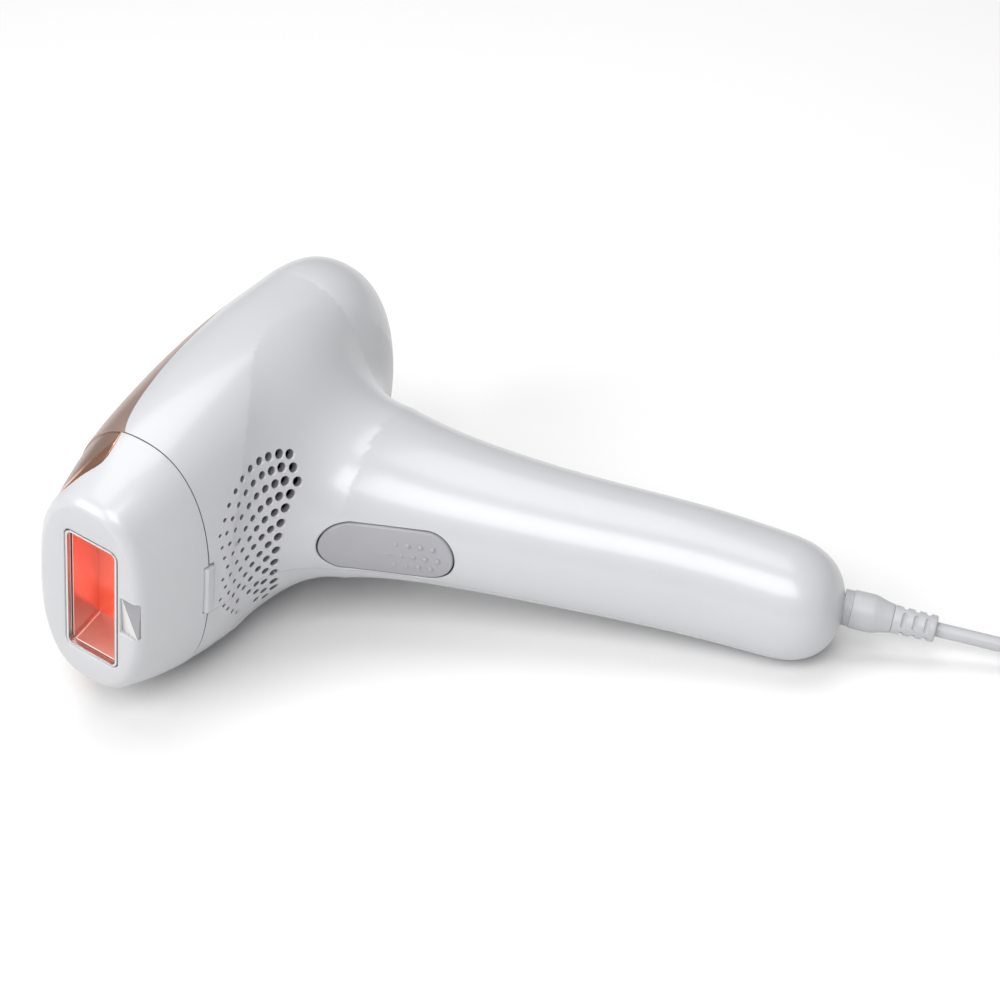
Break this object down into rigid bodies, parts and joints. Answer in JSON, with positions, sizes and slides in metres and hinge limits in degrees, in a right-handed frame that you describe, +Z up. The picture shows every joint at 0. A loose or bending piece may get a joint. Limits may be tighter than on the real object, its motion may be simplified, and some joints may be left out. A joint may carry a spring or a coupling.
{
  "type": "ipl hair remover",
  "caption": "Hammer-shaped pulsed-light hair remover lying on its side, with a slide-off window attachment, sprung keys and a coiled mains adapter lead.",
  "frame": {"origin": "on the surface that the body lies on, under the middle of the body's own box (lead, plug and adapter left out)", "axes": "+Z up from that surface; +X from the head towards the handle's end, level; +Y from the skin face back towards the head's dome"},
  "size_m": [0.3468, 0.1435, 0.0822],
  "materials": {
    "body_white": "pearl gloss moulding",
    "rose_gold": "satin rose-gold lacquer",
    "copper_trim": "bright copper lacquer",
    "frame_silver": "polished silver",
    "guide_mirror": "mirror-coated walls",
    "filter_red": "red-orange filter glass",
    "glass_clear": "clear quartz glass",
    "sensor_grey": "smoked clear plastic",
    "button_grey": "fine matt texture",
    "key_rose": "satin lacquer",
    "light_pipe": "frosted light pipe",
    "chassis_grey": "glass-filled moulding",
    "fan_black": "moulded",
    "board_green": "solder mask",
    "component_dark": "printed sleeve without text",
    "winding_tape": "polyester tape",
    "steel": "plain",
    "lead_white": "soft PVC",
    "adapter_white": "spark-eroded texture",
    "pin_nickel": "nickel plated",
    "tie_fabric": "woven hook-and-loop"
  },
  "bodies": {
    "housing": {"upper_shell": "body_white", "lower_shell": "body_white", "top_cover": "rose_gold", "uv_filter_glass": "glass_clear", "flash_lamp": "glass_clear", "lamp_caps": "steel", "lamp_reflector": "guide_mirror", "lamp_holders": "chassis_grey", "front_bulkhead": "chassis_grey", "bulkhead_screws": "steel", "indicator_lenses": "light_pipe", "inner_chassis": "chassis_grey", "fan_housing": "fan_black", "main_board": "board_green", "control_board": "board_green", "button_board": "board_green", "charging_transformer": "winding_tape", "trigger_coil": "winding_tape", "flash_capacitor": "component_dark", "capacitor_collars": "chassis_grey", "tact_switches": "component_dark", "lead_socket": "component_dark", "plug_barrel": "pin_nickel", "lead_plug": "lead_white", "plug_strain_relief": "lead_white", "supply_cord": "lead_white", "supply_cord_end": "lead_white", "cord_coil": "lead_white", "cord_tie": "tie_fabric", "adapter_case": "adapter_white", "adapter_lid": "adapter_white", "adapter_pins": "pin_nickel", "adapter_strain_relief": "lead_white"},
    "attachment": {"attachment_shell": "body_white", "attachment_inlay": "rose_gold", "inlay_bezel": "copper_trim", "release_tab": "body_white", "light_guide": "guide_mirror", "colour_filter": "filter_red", "frame_springs": "steel", "attachment_carrier": "chassis_grey", "skin_sensor_lens": "sensor_grey", "skin_sensor_board": "board_green"},
    "contact_frame": {"contact_frame": "frame_silver"},
    "flash_button": {"flash_button": "button_grey"},
    "power_button": {"power_button": "key_rose"},
    "intensity_button": {"intensity_button": "key_rose"},
    "fan_rotor": {"fan_rotor": "fan_black"}
  },
  "joints": [
    {"name": "attachment_slide", "type": "slide", "parent": "housing", "child": "attachment", "axis": [0, -0.9999, 0.0122], "range_m": [0, 0.03]},
    {"name": "contact_frame_press", "type": "slide", "parent": "attachment", "child": "contact_frame", "axis": [0, 0.9999, -0.0122], "range_m": [0, 0.001], "stiffness_N_per_m": 600, "deforming": ["frame_springs"]},
    {"name": "flash_button_press", "type": "slide", "parent": "housing", "child": "flash_button", "axis": [-0.3149, 0.9481, 0.0442], "range_m": [0, 0.001], "stiffness_N_per_m": 1200},
    {"name": "power_button_press", "type": "slide", "parent": "housing", "child": "power_button", "axis": [0.9847, -0.0021, -0.1745], "range_m": [0, 0.0005], "stiffness_N_per_m": 1200},
    {"name": "intensity_button_press", "type": "slide", "parent": "housing", "child": "intensity_button", "axis": [0.9847, -0.0021, -0.1745], "range_m": [0, 0.0005], "stiffness_N_per_m": 1200},
    {"name": "fan_spin", "type": "hinge", "parent": "housing", "child": "fan_rotor", "pos_m": [-0.06404, 0.00002, 0.04126], "axis": [0, 0.9999, -0.0122], "continuous": true}
  ]
}
